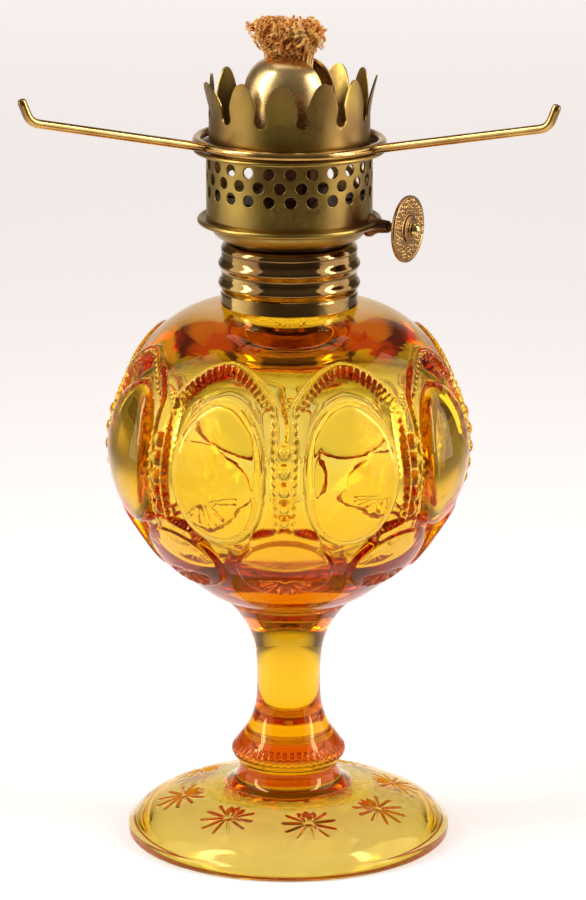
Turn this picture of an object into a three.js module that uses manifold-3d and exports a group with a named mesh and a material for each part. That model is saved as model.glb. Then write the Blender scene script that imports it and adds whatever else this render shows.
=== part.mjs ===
// Miniature oil lamp: a pressed glass font on a stem and foot, a brass collar and burner,
// a flat wick with its winder, and a loose wire shade holder. Millimetres, +Z up.
// The origin is the centre of the ring that the foot stands on.

import * as THREE from 'three';
import { mergeVertices } from 'three/addons/utils/BufferGeometryUtils.js';
import Module from 'manifold-3d';

const wasm = await Module();
wasm.setup();

// Shared values
const clearance = 0.3; // gap between separate pieces
const overrun = 3; // how far a cutter runs past what it cuts
const mergeDistance = 1e-4;
const fullTurn = 2 * Math.PI;
const degree = Math.PI / 180;
const front = -fullTurn / 4; // azimuth of the side that faces the viewer
const count = { glass: 48, round: 36, small: 24, wire: 8, pin: 12, beadSteps: 5 };
const reliefPoints = 2 * Math.round(count.glass); // round the bowl, where the pattern stands out

// Glass base
const foot = {
  radius: 31, // outside of the rim
  rimHeight: 2.3,
  edgeRound: 0.8, // lower edge of the rim
  height: 10, // where the foot meets the stem
  restWidth: 3.6, // from the rim to the hollow, under the ring that it stands on
  hollowHeight: 6.9,
};
const stem = { knobRadius: 10.9, height: 36.5, rows: 14 };
const font = {
  radius: 33.75, // at the waist of the bowl, under the relief
  height: 57.6,
  rows: 30,
  wall: 3.4,
  floorThickness: 4.6,
  roofThickness: 2.9,
  cavityRows: 10,
};
const neck = { radius: 11, bore: 8.6, height: 3.1 };
const relief = {
  count: 8, // sectors round the bowl
  turn: -1.4 * degree, // of the first column from the front
  ovalHalfWidth: 9.8,
  ovalHalfHeight: 15,
  ovalRise: 0.9,
  ovalCentre: 40.6, // along the outline from the foot of the bowl
  archHalfWidth: 14.2,
  archHalfHeight: 21.8,
  edgeRise: 0.75, // of the arches' edges and of the columns between ovals
  valley: 1.2, // depth round the foot of an oval
  moonHalfWidth: 9,
  moonHalfHeight: 7.7,
  moonRise: 0.95,
  moonCentre: 21.5,
};

// Outlines as shares: [radius, height]
const stemShares = [
  [0.963, 0], [0.908, 0.052], [0.86, 0.1], [0.985, 0.16], [1, 0.195], [0.9, 0.241],
  [0.72, 0.318], [0.601, 0.411], [0.563, 0.496], [0.56, 0.622], [0.6, 0.748],
  [0.71, 0.852], [0.885, 0.934], [1.064, 1],
];
const fontShares = [
  [0.344, 0.009], [0.462, 0.042], [0.616, 0.114], [0.753, 0.198], [0.844, 0.276],
  [0.924, 0.352], [0.975, 0.433], [1, 0.522], [0.993, 0.593], [0.953, 0.69],
  [0.91, 0.75], [0.849, 0.827], [0.773, 0.891], [0.655, 0.95], [0.53, 0.986], [0.388, 1],
];
const cavityShares = [
  [0.313, 0.01], [0.56, 0.058], [0.745, 0.138], [0.8, 0.178], [0.858, 0.248], [0.95, 0.367], [1, 0.507],
  [0.975, 0.647], [0.9, 0.776], [0.802, 0.876], [0.636, 0.952], [0.42, 0.99],
];
const footShares = [[0.484, 0.909], [0.661, 0.74], [0.806, 0.532], [0.903, 0.338]]; // top of the foot
const hollowShares = [[0.94, 0.34], [0.8, 0.62], [0.55, 0.84], [0.28, 0.96]];
const ovalFlatShare = 0.7; // where the flat top of an oval ends and its rounded side begins

// Heights that follow from the glass
const fontFoot = foot.height + stem.height;
const shoulder = fontFoot + font.height;
const neckTop = shoulder + neck.height;

// Collar
const collar = {
  radius: 12.95,
  wall: 0.5,
  height: 12.1,
  ridge: 0.45, // how far the rolled ridges stand out
  ridgeHalfHeight: 1.8,
  lipRadius: 11.5,
  floorBore: 9.4,
};
const ridgeShares = [0.347, 0.653]; // places of the ridges in the height of the collar
const collarFoot = shoulder + clearance;
const collarTop = collarFoot + collar.height;

// Burner, from the collar up
const cup = {
  sleeveRadius: 11.1,
  wall: 0.5,
  flareRadius: 15,
  flareHeight: 3.6,
  flareSteps: 4,
  beadRadius: 0.6,
  beadCentre: 16.7,
  beadDrop: 0.3, // centre of the bead under the foot of the band
};
const band = {
  radius: 15.6,
  wall: 0.4,
  height: 13.05,
  holeRadius: 1.12,
  holesPerRow: 24,
  holeSides: 8,
  firstRow: 5.75, // from the foot of the band
  rowPitch: 2.65,
  rows: 3,
  firstHole: front + 0.9 * degree,
};
const crown = {
  radius: 15.1,
  floorWall: 0.5,
  floorBore: 9.2,
  wall: 0.4,
  height: 13.85,
  flare: 1.5, // how far the tips lean out
  straight: 6.25, // height before the petals lean
  beadRadius: 0.4,
  beadCentre: 17.75,
  beadDrop: 0.3, // centre of the bead under the floor's top face
  petals: 12,
  firstPetal: front - 5.7 * degree,
  slotRadius: 1.3, // round foot of the slot between two petals
  slotFoot: 5.65, // above the floor
  slotNeck: 0.95, // half the width of the slot at its neck
  neckHeight: 9.25,
  tipWidth: 0.5,
  ogiveSteps: 4,
};
const dome = {
  radius: 8.8,
  wall: 0.4,
  height: 16.25,
  flangeRadius: 11.2,
  slotWidth: 4.2,
  slotDepth: 5.2, // from the top
  steps: 6,
};
const wick = { width: 9.5, thickness: 2, tail: 4.6 };
const tube = { wall: 0.4, belowNeckTop: 2.6, belowDomeTop: 2.7 };
const tuft = { height: 8.7, halfWidth: 6.6, halfDepth: 3.2, steps: 6 };
const screen = { thickness: 0.4, height: 3.2, holes: 8, holeRadius: 1.6, holeCircle: 11.4 };

// Winder
const winder = {
  azimuth: -28 * degree, // direction of the shaft, and of the wick's width
  drop: 0.6, // of the shaft under the foot of the band
  shaftRadius: 0.8,
  wheelRadius: 2.2,
  toothDepth: 0.55,
  teeth: 8,
  wheelThickness: 0.8,
  wheelSpacing: 5.2,
  innerEnd: 6.4, // the shaft's end past the lamp's axis
  discPlace: 22.65, // inner face of the thumbwheel, from the lamp's axis
  discRadius: 6.3,
  discThickness: 0.8,
  washerRadius: 2.6,
  washerStepRadius: 1.8,
  washerThickness: 0.9,
  headRadius: 1.35,
  headHeight: 0.8,
};
const housing = { wall: 0.5, height: 6.4 };
const boss = { radius: 2.3, tipRadius: 1.5, length: 4.2 };

// Shade holder
const holder = {
  wireRadius: 0.85,
  seatGap: 0.3, // between the loose ring and the floor under it
  sideGap: 1.35, // between the loose ring and the petals
  arms: 3,
  firstArm: 90 * degree,
  reach: 54, // radius of the bend
  rise: 7.7, // height of the bend over the ring
  bendRadius: 1.8,
  tipLength: 4.6,
  tipLean: 22 * degree,
  steps: 14,
};

// Heights and places that follow
const bandFoot = collarTop + clearance + cup.flareHeight + cup.wall;
const floorUnder = bandFoot + band.height;
const floorTop = floorUnder + crown.floorWall;
const domeTop = floorTop + dome.height;
const rebateRadius = dome.flangeRadius + clearance; // of the recess that the dome's flange lies in
const rebateFloor = floorTop - dome.wall;
const tubeFoot = neckTop - tube.belowNeckTop;
const tubeTop = domeTop - tube.belowDomeTop;
const wickFoot = tubeFoot - wick.tail;
const tuftFoot = domeTop - clearance;
const tubeHalfWidth = wick.width / 2 + clearance + tube.wall;
const tubeHalfDepth = wick.thickness / 2 + clearance + tube.wall;
const winderHeight = bandFoot - winder.drop;
const shaftOffset = wick.thickness / 2 + clearance + winder.wheelRadius;
const shaftBore = winder.shaftRadius + clearance;
const ringRadius = crown.radius + holder.sideGap + holder.wireRadius;
const screenRadius = (band.radius - band.wall) * Math.cos(fullTurn / 2 / band.holesPerRow) - clearance;
const ringHeight = floorTop + holder.seatGap + holder.wireRadius;

// Materials
const amber = new THREE.MeshStandardMaterial({ color: 0xe8960c, roughness: 0.06, metalness: 0 });
const brass = new THREE.MeshStandardMaterial({ color: 0xb8963e, roughness: 0.3, metalness: 1 });
const darkBrass = new THREE.MeshStandardMaterial({ color: 0x8d6a34, roughness: 0.42, metalness: 1 });
const plaster = new THREE.MeshStandardMaterial({ color: 0xcfc6b4, roughness: 0.9, metalness: 0 });
const cotton = new THREE.MeshStandardMaterial({ color: 0xb98a4e, roughness: 0.95, metalness: 0 });

// A geometry with shared points and no collapsed triangles
function welded(geometry) {
  const bare = geometry.index ? geometry.clone() : geometry;
  bare.deleteAttribute('normal');
  bare.deleteAttribute('uv');
  const merged = mergeVertices(bare, mergeDistance);
  const kept = [];
  for (let i = 0; i < merged.index.count; i += 3) {
    const [a, b, c] = [0, 1, 2].map((k) => merged.index.getX(i + k));
    if (a !== b && b !== c && c !== a) {
      kept.push(a, b, c);
    }
  }
  merged.setIndex(kept);
  return merged;
}

function signedVolume(geometry) {
  const corner = [0, 1, 2].map(() => new THREE.Vector3());
  let sum = 0;
  for (let i = 0; i < geometry.index.count; i += 3) {
    corner.forEach((v, k) => v.fromBufferAttribute(geometry.attributes.position, geometry.index.getX(i + k)));
    sum += corner[0].dot(corner[1].clone().cross(corner[2]));
  }
  return sum;
}

// The same body with its faces turned outward
function outward(geometry) {
  const body = welded(geometry);
  if (signedVolume(body) < 0) {
    const index = Array.from(body.index.array);
    for (let i = 0; i < index.length; i += 3) {
      [index[i], index[i + 1]] = [index[i + 1], index[i]];
    }
    body.setIndex(index);
  }
  return body;
}

function toSolid(geometry) {
  const body = outward(geometry);
  const vertProperties = new Float32Array(body.attributes.position.array);
  const triVerts = new Uint32Array(body.index.array);
  return new wasm.Manifold(new wasm.Mesh({ numProp: 3, vertProperties, triVerts }));
}

function toGeometry(solid) {
  const mesh = solid.getMesh();
  const geometry = new THREE.BufferGeometry();
  geometry.setAttribute('position', new THREE.BufferAttribute(mesh.vertProperties, mesh.numProp));
  geometry.setIndex(new THREE.BufferAttribute(mesh.triVerts, 1));
  return geometry;
}

function cut(geometry, cutters) {
  return toGeometry(cutters.reduce((solid, cutter) => solid.subtract(toSolid(cutter)), toSolid(geometry)));
}

function named(name, geometry, material) {
  const mesh = new THREE.Mesh(outward(geometry), material);
  mesh.geometry.computeVertexNormals();
  mesh.name = name;
  return mesh;
}

// A closed outline of [radius, height] pairs, turned about Z
function turned(outline, segments = count.round) {
  const points = [...outline, outline[0]].map(([r, z]) => new THREE.Vector2(r, z));
  return new THREE.LatheGeometry(points, segments).rotateX(fullTurn / 4);
}

// The same, with the outline's heights running along +X
function turnedAlongX(outline, segments) {
  return turned(outline, segments).rotateY(fullTurn / 4);
}

function arc(radius, height, size, from, to, steps) {
  return Array.from({ length: steps + 1 }, (_, i) => {
    const angle = from + ((to - from) * i) / steps;
    return [radius + size * Math.cos(angle), height + size * Math.sin(angle)];
  });
}

// A rolled edge: round the bead from the under face of a flange to its top face
function bead(radius, centre, size, under, top) {
  const from = Math.asin((centre - under) / size) - fullTurn / 2;
  const to = fullTurn / 2 - Math.asin((top - centre) / size);
  return arc(radius, centre, size, from, to, count.beadSteps);
}

function block(from, to) {
  const size = to.map((value, i) => value - from[i]);
  const box = new THREE.BoxGeometry(...size);
  return box.translate(...from.map((value, i) => value + size[i] / 2));
}

// A round bar along +X
function bar(radius, from, to, sides = count.pin) {
  const rod = new THREE.CylinderGeometry(radius, radius, to - from, sides);
  return rod.rotateZ(-fullTurn / 4).translate((from + to) / 2, 0, 0);
}

// Points evenly along the smooth curve through an outline given in shares
function smooth(shares, radius, foot, height, rows) {
  const points = shares.map(([r, z]) => new THREE.Vector2(r * radius, foot + z * height));
  return new THREE.SplineCurve(points).getSpacedPoints(rows).map((p) => [p.x, p.y]);
}

// Rings of points joined one to the next: a ring has one point, or as many as, twice or half its neighbour
function lofted(rings) {
  const positions = [];
  const starts = rings.map((ring) => {
    const start = positions.length / 3;
    ring.forEach((point) => positions.push(...point));
    return start;
  });
  const index = [];
  for (let k = 0; k + 1 < rings.length; k++) {
    const [n, m] = [rings[k].length, rings[k + 1].length];
    const a = (i) => starts[k] + (i % n);
    const b = (i) => starts[k + 1] + (i % m);
    for (let i = 0; i < Math.max(n, m); i++) {
      if (n === 1) {
        index.push(a(0), b(i), b(i + 1));
      } else if (m === 1) {
        index.push(a(i), b(0), a(i + 1));
      } else if (n === m) {
        index.push(a(i), b(i), b(i + 1), a(i), b(i + 1), a(i + 1));
      } else if (n > m) {
        const half = Math.floor(i / 2);
        index.push(a(i), b(half + (i % 2)), a(i + 1));
        if (i % 2 === 0) {
          index.push(a(i + 1), b(half), b(half + 1));
        }
      } else {
        const half = Math.floor(i / 2);
        index.push(a(half + (i % 2)), b(i), b(i + 1));
        if (i % 2 === 0) {
          index.push(a(half), b(i + 1), a(half + 1));
        }
      }
    }
  }
  const geometry = new THREE.BufferGeometry();
  geometry.setAttribute('position', new THREE.Float32BufferAttribute(positions, 3));
  geometry.setIndex(index);
  return geometry;
}

function ringOf([radius, height], points, rise = () => 0) {
  const sides = Math.round(points);
  return Array.from({ length: sides }, (_, i) => {
    const azimuth = (i / sides) * fullTurn;
    const r = radius + rise(azimuth);
    return [r * Math.cos(azimuth), r * Math.sin(azimuth), height];
  });
}

// How far the pressed pattern stands out, at an azimuth and a place along the bowl's outline
function patternRise(azimuth, place, radius) {
  const sector = fullTurn / relief.count;
  const turn = (azimuth - front) / sector;
  const acrossColumn = (turn - Math.round(turn)) * sector * radius;
  const acrossOval = (turn - 1 / 2 - Math.round(turn - 1 / 2)) * sector * radius;
  const climb = place - relief.ovalCentre;
  const overMoon = (place - relief.moonCentre) / relief.moonHalfHeight;
  const oval = Math.hypot(acrossOval / relief.ovalHalfWidth, climb / relief.ovalHalfHeight);
  const arch = Math.hypot(acrossOval / relief.archHalfWidth, climb / relief.archHalfHeight);
  if (Math.hypot(acrossColumn / relief.moonHalfWidth, overMoon) < 1) {
    return relief.moonRise;
  }
  if (oval < 1) {
    const fall = Math.max(oval - ovalFlatShare, 0) / (1 - ovalFlatShare);
    return relief.ovalRise - (relief.ovalRise + relief.valley) * fall ** 2;
  }
  const fromArch = climb > 0 ? (1 - arch) * relief.archHalfWidth : relief.archHalfWidth;
  const fromEdge = Math.min(fromArch, Math.abs(acrossColumn));
  if (fromEdge < 0) {
    return 0;
  }
  const fromOval = (oval - 1) * relief.ovalHalfWidth;
  const fade = Math.min(Math.max(overMoon, 0), 1);
  return (relief.edgeRise - ((relief.edgeRise + relief.valley) * fromEdge) / (fromEdge + fromOval)) * fade;
}

function glassBase() {
  const cavityRadius = font.radius - font.wall;
  const cavityFloor = fontFoot + font.floorThickness;
  const cavityHeight = font.height - font.floorThickness - font.roofThickness;
  const cavity = smooth(cavityShares, cavityRadius, cavityFloor, cavityHeight, font.cavityRows);
  const mouth = [
    [neck.bore, cavityFloor + cavityHeight],
    [neck.bore, neckTop],
    [neck.radius, neckTop],
    [neck.radius, shoulder],
  ];
  const bowl = smooth(fontShares, font.radius, fontFoot, font.height, font.rows);
  const stalk = smooth(stemShares, stem.knobRadius, foot.height, stem.height, stem.rows);
  const hollowRadius = foot.radius - foot.restWidth;
  const rim = [
    ...footShares.map(([r, z]) => [r * foot.radius, foot.rimHeight + z * (foot.height - foot.rimHeight)]),
    [foot.radius - foot.edgeRound, foot.rimHeight + foot.edgeRound / 3],
    ...arc(foot.radius - foot.edgeRound, foot.edgeRound, foot.edgeRound, 0, -fullTurn / 4, 2),
    [hollowRadius, 0],
  ];
  const hollow = hollowShares.map(([r, z]) => [r * hollowRadius, z * foot.hollowHeight]);
  const lengths = bowl.map((p, i) => (i ? Math.hypot(p[0] - bowl[i - 1][0], p[1] - bowl[i - 1][1]) : 0));
  const place = (k) => lengths.slice(0, k + 1).reduce((sum, length) => sum + length, 0);
  const plain = (pair) => ringOf(pair, count.glass);
  const patterned = (p, k) => ringOf(p, reliefPoints, (azimuth) => patternRise(azimuth, place(k), p[0]));
  return lofted([
    [[0, 0, cavityFloor]],
    ...cavity.map(plain),
    ...mouth.map(plain),
    ...bowl.map(patterned).reverse(),
    ...stalk.map(plain).reverse(),
    ...rim.map(plain),
    ...hollow.map(plain),
    [[0, 0, foot.hollowHeight]],
  ]).rotateZ(relief.turn);
}

function collarShell() {
  const ridges = ridgeShares.map((share) => collarFoot + share * collar.height);
  const out = ridges.flatMap((height) => [
    [collar.radius, height - collar.ridgeHalfHeight],
    [collar.radius + collar.ridge, height - collar.ridgeHalfHeight / 3],
    [collar.radius + collar.ridge, height + collar.ridgeHalfHeight / 3],
  ]);
  const roundSize = collar.radius - collar.lipRadius;
  const wall = (pairs) => pairs.map(([r, z]) => [r - collar.wall, z]).reverse();
  const seat = neckTop + clearance;
  return turned([
    [collar.radius, collarFoot],
    ...out,
    ...arc(collar.lipRadius, collarTop - roundSize, roundSize, 0, fullTurn / 4, 2),
    [collar.lipRadius, collarTop - collar.wall],
    ...wall(out.filter((p) => p[1] > seat + collar.wall)),
    [collar.radius - collar.wall, seat + collar.wall],
    [collar.floorBore, seat + collar.wall],
    [collar.floorBore, seat],
    [collar.radius - collar.wall, seat],
    [collar.radius - collar.wall, collarFoot],
  ]);
}

function plasterRing() {
  const [inner, outer] = [neck.radius + clearance, collar.radius - collar.wall - clearance];
  return turned([[inner, collarFoot], [outer, collarFoot], [outer, neckTop], [inner, neckTop]]);
}

// The shaft's own frame: +X runs out along the shaft, and the shaft lies beside the wick
function atShaft(geometry) {
  return geometry.translate(0, shaftOffset, winderHeight);
}

function inBurner(geometry) {
  return geometry.rotateZ(winder.azimuth);
}

function bossPocket() {
  const radius = boss.radius + clearance;
  return inBurner(atShaft(bar(radius, cup.sleeveRadius, cup.beadCentre + cup.beadRadius + overrun)));
}

function threadCup() {
  const under = collarTop + clearance;
  const sleeveFoot = neckTop + clearance + collar.wall + clearance;
  const flare = Array.from({ length: cup.flareSteps + 1 }, (_, i) => {
    const angle = ((i / cup.flareSteps) * fullTurn) / 4;
    const reach = cup.flareRadius - cup.sleeveRadius;
    return [cup.sleeveRadius + reach * Math.sin(angle), under + cup.flareHeight * (1 - Math.cos(angle))];
  });
  const inner = flare.map(([r, z]) => [r - cup.wall, z + cup.wall]).reverse();
  return cut(
    turned([
      [cup.sleeveRadius - cup.wall, sleeveFoot],
      [cup.sleeveRadius, sleeveFoot],
      ...flare,
      ...bead(cup.beadCentre, bandFoot - cup.beadDrop, cup.beadRadius, bandFoot - cup.wall, bandFoot),
      [band.radius + clearance, bandFoot],
      ...inner,
    ]),
    [bossPocket()],
  );
}

function basketBand() {
  const inner = band.radius - band.wall;
  const pitch = fullTurn / band.holesPerRow;
  const outer = band.radius;
  const outline = [[inner, bandFoot], [outer, bandFoot], [outer, floorUnder], [inner, floorUnder]];
  const shell = turned(outline, band.holesPerRow).rotateZ(band.firstHole + pitch / 2);
  const holes = [];
  for (let row = 0; row < band.rows; row++) {
    for (let k = 0; k < band.holesPerRow; k++) {
      const azimuth = band.firstHole + (k + (row % 2) / 2) * pitch;
      const punch = bar(band.holeRadius, inner - overrun, band.radius + overrun, band.holeSides);
      holes.push(punch.rotateZ(azimuth).translate(0, 0, bandFoot + band.firstRow + row * band.rowPitch));
    }
  }
  return cut(shell, [...holes, bossPocket()]);
}

// The opening between two petals, as seen from outside, drawn from its round foot to past the tips
function petalGap() {
  const halfPitch = ((crown.radius + crown.flare / 2) * Math.PI) / crown.petals;
  const centre = floorTop + crown.slotFoot + crown.slotRadius;
  const neckZ = floorTop + crown.neckHeight;
  const tipZ = floorTop + crown.height;
  const side = arc(0, centre, crown.slotRadius, -fullTurn / 4, fullTurn / 12, 3);
  for (let i = 0; i <= crown.ogiveSteps; i++) {
    const climb = i / crown.ogiveSteps;
    const petalHalf = (halfPitch - crown.slotNeck) * Math.sqrt(1 - climb * climb);
    side.push([halfPitch - Math.max(petalHalf, crown.tipWidth / 2), neckZ + climb * (tipZ - neckZ)]);
  }
  const last = side.at(-1)[0];
  side.push([last, tipZ + overrun]);
  const other = side.slice(1).map(([x, z]) => [-x, z]).reverse();
  return new THREE.Shape([...side, ...other].map(([x, z]) => new THREE.Vector2(x, z)));
}

function crownGallery() {
  const foldZ = floorTop + crown.straight;
  const tipZ = floorTop + crown.height;
  const middleZ = (foldZ + tipZ) / 2;
  const lean = [[0, foldZ], [crown.flare / 3, middleZ], [crown.flare, tipZ]];
  const outer = lean.map(([r, z]) => [crown.radius + r, z]);
  const inner = lean.map(([r, z]) => [crown.radius - crown.wall + r, z]).reverse();
  const gallery = turned([
    [crown.floorBore, rebateFloor - crown.floorWall],
    [rebateRadius + crown.floorWall, rebateFloor - crown.floorWall],
    [rebateRadius + crown.floorWall, floorUnder],
    ...bead(crown.beadCentre, floorTop - crown.beadDrop, crown.beadRadius, floorUnder, floorTop),
    [crown.radius, floorTop],
    ...outer,
    ...inner,
    [crown.radius - crown.wall, floorTop],
    [rebateRadius, floorTop],
    [rebateRadius, rebateFloor],
    [crown.floorBore, rebateFloor],
  ]);
  const gap = new THREE.ExtrudeGeometry(petalGap(), { depth: crown.wall + 2 * overrun, bevelEnabled: false });
  gap.rotateX(fullTurn / 4).rotateZ(fullTurn / 4).translate(crown.radius - crown.wall - overrun, 0, 0);
  const gaps = Array.from({ length: crown.petals }, (_, k) => {
    return gap.clone().rotateZ(crown.firstPetal + ((k + 1 / 2) * fullTurn) / crown.petals);
  });
  return cut(gallery, gaps);
}

function deflectorDome() {
  const centre = domeTop - dome.radius;
  const inner = dome.radius - dome.wall;
  const outside = arc(0, centre, dome.radius, 0, fullTurn / 4, dome.steps);
  const inside = arc(0, centre, inner, fullTurn / 4, 0, dome.steps);
  const shell = turned(
    [
      [inner, rebateFloor],
      [dome.flangeRadius, rebateFloor],
      [dome.flangeRadius, floorTop],
      [dome.radius, floorTop],
      ...outside,
      ...inside,
    ],
    count.small,
  );
  const slot = block(
    [-dome.radius - overrun, -dome.slotWidth / 2, domeTop - dome.slotDepth],
    [dome.radius + overrun, dome.slotWidth / 2, domeTop + overrun],
  );
  return inBurner(cut(shell, [slot]));
}

// A flat tape section with rounded edges
function tapeShape(halfWidth, halfDepth, sides = 4) {
  const right = arc(halfWidth - halfDepth, 0, halfDepth, -fullTurn / 4, fullTurn / 4, sides);
  const left = arc(halfDepth - halfWidth, 0, halfDepth, fullTurn / 4, (3 * fullTurn) / 4, sides);
  return [...right, ...left].map(([x, y]) => new THREE.Vector2(x, y));
}

function upright(shape, from, to) {
  return new THREE.ExtrudeGeometry(shape, { depth: to - from, bevelEnabled: false }).translate(0, 0, from);
}

function wickTube() {
  const shape = new THREE.Shape(tapeShape(tubeHalfWidth, tubeHalfDepth));
  shape.holes.push(new THREE.Path(tapeShape(tubeHalfWidth - tube.wall, tubeHalfDepth - tube.wall)));
  const reach = winder.wheelRadius + clearance;
  const halfSpan = (winder.wheelSpacing + winder.wheelThickness) / 2 + clearance;
  const window = block(
    [-halfSpan, wick.thickness / 2, winderHeight - reach],
    [halfSpan, tubeHalfDepth + overrun, winderHeight + reach],
  );
  return inBurner(cut(upright(shape, tubeFoot, tubeTop), [window]));
}

function wickStrip() {
  const shape = new THREE.Shape(tapeShape(wick.width / 2, wick.thickness / 2));
  return inBurner(upright(shape, wickFoot, tuftFoot));
}

// The frayed head of the wick as a plain swelling lump, blunt below and round above
function wickTuft() {
  const rings = [[[0, 0, tuftFoot]]];
  for (let i = 0; i < tuft.steps; i++) {
    const climb = i / tuft.steps;
    const swell = Math.sin((0.22 + 0.78 * climb) * Math.PI);
    const halfWidth = wick.width / 2 + (tuft.halfWidth - wick.width / 2) * swell;
    const halfDepth = wick.thickness / 2 + (tuft.halfDepth - wick.thickness / 2) * swell;
    const close = Math.sqrt(1 - climb ** 4);
    rings.push(
      ringOf([1, 0], count.pin).map(([x, y]) => [
        x * halfWidth * close,
        y * halfDepth * close,
        tuftFoot + climb * tuft.height,
      ]),
    );
  }
  rings.push([[0, 0, tuftFoot + tuft.height]]);
  return inBurner(lofted(rings));
}

function airScreen() {
  const foot = bandFoot + screen.height;
  const disc = turned(
    [[0, foot], [screenRadius, foot], [screenRadius, foot + screen.thickness], [0, foot + screen.thickness]],
    count.small,
  );
  const slot = upright(
    new THREE.Shape(tapeShape(tubeHalfWidth + clearance, tubeHalfDepth + clearance)),
    foot - overrun,
    foot + screen.thickness + overrun,
  );
  const holes = Array.from({ length: screen.holes }, (_, k) => {
    const punch = new THREE.CylinderGeometry(screen.holeRadius, screen.holeRadius, 2 * overrun, count.wire);
    punch.rotateX(fullTurn / 4).translate(screen.holeCircle, 0, foot);
    return punch.rotateZ(((k + 1 / 2) * fullTurn) / screen.holes);
  });
  return inBurner(cut(disc, [slot, ...holes]));
}

// The box over the toothed wheels, open towards the wick tube
function shaftHousing() {
  const halfLength = (winder.wheelSpacing + winder.wheelThickness) / 2 + 2 * clearance;
  const halfHeight = housing.height / 2;
  const near = tubeHalfDepth + clearance;
  const far = shaftOffset + winder.wheelRadius + clearance;
  const outer = block(
    [-halfLength - housing.wall, near, winderHeight - halfHeight],
    [halfLength + housing.wall, far + housing.wall, winderHeight + halfHeight],
  );
  const room = block(
    [-halfLength, near - overrun, winderHeight - halfHeight + housing.wall],
    [halfLength, far, winderHeight + halfHeight - housing.wall],
  );
  const bore = atShaft(bar(shaftBore, -halfLength - overrun, halfLength + overrun));
  return inBurner(cut(outer, [room, bore]));
}

function shaftBoss() {
  const from = Math.sqrt(band.radius ** 2 - shaftOffset ** 2) - band.wall - clearance;
  return inBurner(
    atShaft(
      turnedAlongX(
        [
          [shaftBore, from],
          [boss.radius, from],
          [boss.radius, from + boss.length / 2],
          [boss.tipRadius, from + boss.length],
          [shaftBore, from + boss.length],
        ],
        count.pin,
      ),
    ),
  );
}

const washerFace = winder.discPlace + winder.discThickness + winder.washerThickness;

// The shaft, with the head that its end is peened to
function winderShaft() {
  const head = washerFace + clearance;
  return inBurner(
    atShaft(
      turnedAlongX(
        [
          [0, -winder.innerEnd],
          [winder.shaftRadius, -winder.innerEnd],
          [winder.shaftRadius, head],
          [winder.headRadius, head],
          [winder.headRadius * 0.8, head + winder.headHeight * 0.7],
          [0, head + winder.headHeight],
        ],
        count.pin,
      ),
    ),
  );
}

function starWheel(place) {
  const points = Array.from({ length: 2 * winder.teeth }, (_, i) => {
    const radius = i % 2 ? winder.wheelRadius - winder.toothDepth : winder.wheelRadius;
    const angle = ((i / 2) * fullTurn) / winder.teeth;
    return new THREE.Vector2(radius * Math.cos(angle), radius * Math.sin(angle));
  });
  const shape = new THREE.Shape(points);
  shape.holes.push(new THREE.Path().absarc(0, 0, shaftBore, 0, fullTurn));
  const settings = { depth: winder.wheelThickness, bevelEnabled: false, curveSegments: count.pin };
  const wheel = new THREE.ExtrudeGeometry(shape, settings).rotateY(fullTurn / 4);
  return inBurner(atShaft(wheel.translate(place - winder.wheelThickness / 2, 0, 0)));
}

function thumbwheel() {
  const [from, to] = [winder.discPlace, winder.discPlace + winder.discThickness];
  const bevel = winder.discThickness / 4;
  return inBurner(
    atShaft(
      turnedAlongX(
        [
          [shaftBore, from],
          [winder.discRadius - bevel, from],
          [winder.discRadius, from + bevel],
          [winder.discRadius, to - bevel],
          [winder.discRadius - bevel, to],
          [shaftBore, to],
        ],
        count.small,
      ),
    ),
  );
}

function thumbwheelWasher() {
  const from = winder.discPlace + winder.discThickness;
  const middle = (from + washerFace) / 2;
  return inBurner(
    atShaft(
      turnedAlongX(
        [
          [shaftBore, from],
          [winder.washerRadius, from],
          [winder.washerRadius, middle],
          [winder.washerStepRadius, middle],
          [winder.washerStepRadius, washerFace],
          [shaftBore, washerFace],
        ],
        count.pin,
      ),
    ),
  );
}

function holderRing() {
  const ring = new THREE.TorusGeometry(ringRadius, holder.wireRadius, count.wire, count.round);
  return ring.translate(0, 0, ringHeight);
}

function shadeArm(azimuth) {
  const start = new THREE.Vector3(ringRadius + holder.wireRadius + clearance, 0, ringHeight);
  const bend = new THREE.Vector3(holder.reach, 0, ringHeight + holder.rise);
  const tipStep = new THREE.Vector3(Math.sin(holder.tipLean), 0, Math.cos(holder.tipLean));
  const tip = bend.clone().addScaledVector(tipStep, holder.tipLength);
  const along = bend.clone().sub(start).normalize();
  const before = bend.clone().addScaledVector(along, -holder.bendRadius);
  const after = bend.clone().addScaledVector(tipStep, holder.bendRadius);
  const middle = start.clone().lerp(before, 1 / 2);
  const path = new THREE.CurvePath();
  path.add(new THREE.LineCurve3(start, middle));
  path.add(new THREE.LineCurve3(middle, before));
  path.add(new THREE.QuadraticBezierCurve3(before, bend, after));
  path.add(new THREE.LineCurve3(after, tip));
  const section = new THREE.Shape(
    ringOf([holder.wireRadius, 0], count.wire).map(([x, y]) => new THREE.Vector2(x, y)),
  );
  const settings = { steps: holder.steps, bevelEnabled: false, extrudePath: path };
  return new THREE.ExtrudeGeometry(section, settings).rotateZ(azimuth);
}

const lamp = new THREE.Group();
lamp.add(named('glass_base', glassBase(), amber));
lamp.add(named('collar', collarShell(), darkBrass));
lamp.add(named('collar_plaster', plasterRing(), plaster));

const burner = new THREE.Group();
burner.add(named('thread_cup', threadCup(), brass));
burner.add(named('basket_band', basketBand(), brass));
burner.add(named('crown_gallery', crownGallery(), brass));
burner.add(named('deflector_dome', deflectorDome(), brass));
burner.add(named('wick_tube', wickTube(), brass));
burner.add(named('air_screen', airScreen(), brass));
burner.add(named('shaft_housing', shaftHousing(), brass));
burner.add(named('shaft_boss', shaftBoss(), darkBrass));
lamp.add(burner);

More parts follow.
